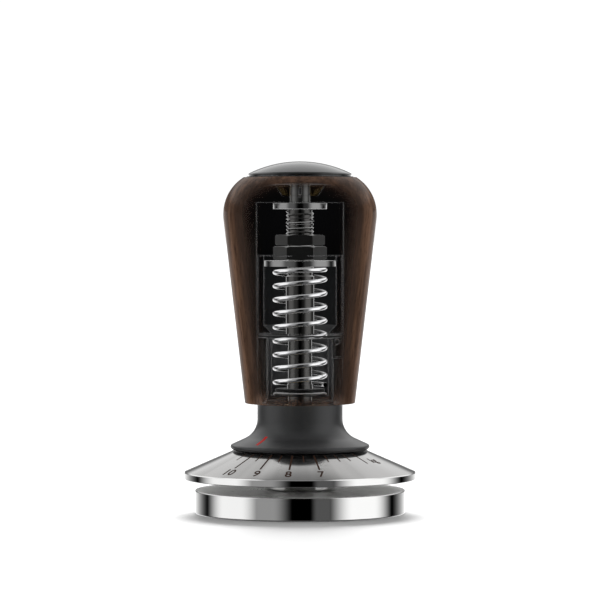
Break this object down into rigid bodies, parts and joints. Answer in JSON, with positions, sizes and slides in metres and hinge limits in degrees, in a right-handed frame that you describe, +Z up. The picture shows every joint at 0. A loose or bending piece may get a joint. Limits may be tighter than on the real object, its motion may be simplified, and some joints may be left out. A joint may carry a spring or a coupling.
{
  "type": "espresso tamper",
  "caption": "Espresso tamper: flat steel tamping base, conical steel dial skirt, dark flared collar and turned wooden handle with a preloaded spring inside.",
  "frame": {"origin": "centre of the flat tamping face, the lowest point of the part", "axes": "+Z up the tamper's own axis to the cap, +X to the right when the dial's low numbers face the user, -Y towards the user"},
  "size_m": [0.0644, 0.0644, 0.0977],
  "materials": {
    "polished_steel": "mirror polished stainless steel",
    "satin_steel": "fine turned satin stainless steel",
    "spring_steel": "bright drawn spring wire and bright washers",
    "black_oxide": "black oxide steel, semi-gloss",
    "dark_anodised": "dark grey satin anodised aluminium",
    "black_plastic": "matt black acetal",
    "gloss_black": "high gloss black",
    "brass": "turned brass",
    "dark_walnut": "oiled dark walnut, straight grain"
  },
  "bodies": {
    "base": {"tamping_base": "polished_steel", "piston_stem": "polished_steel", "spring_cup": "dark_anodised", "spring_seat": "spring_steel", "thrust_washer": "black_plastic", "guide_bush": "brass", "compression_spring": "spring_steel"},
    "dial": {"dial_skirt": "satin_steel", "dial_slip_ring": "black_plastic", "dial_snap_ring": "spring_steel"},
    "handle": {"collar": "dark_anodised", "detent_ball": "spring_steel", "detent_leaf": "spring_steel", "wooden_handle": "dark_walnut", "cap_dome": "gloss_black", "cap_disc": "dark_anodised", "cap_screw": "black_oxide", "cap_key": "black_oxide", "centring_cone": "brass", "flange_washer": "black_oxide", "threaded_rod": "black_oxide", "rod_sleeve": "black_plastic", "slip_washer": "black_plastic"},
    "preload_nuts": {"spring_plate": "dark_anodised", "adjusting_nut": "black_oxide", "lock_nut": "black_oxide"}
  },
  "joints": [
    {"name": "press", "type": "slide", "parent": "base", "child": "dial", "axis": [0, 0, -1], "range_m": [0, 0.0027], "stiffness_N_per_m": 8000, "springref_m": -0.012, "deforming": ["compression_spring"]},
    {"name": "set_turn", "type": "hinge", "parent": "dial", "child": "handle", "pos_m": [0, 0, 0], "axis": [0, 0, 1], "range_deg": [-9, 90]},
    {"name": "nut_shift", "type": "slide", "parent": "dial", "child": "preload_nuts", "axis": [0, 0, -1], "range_m": [-0.000251, 0.000026], "deforming": ["compression_spring"]}
  ],
  "couplings": [
    {"joint": "nut_shift", "follows": "set_turn", "m_per_rad": -0.00015915}
  ]
}
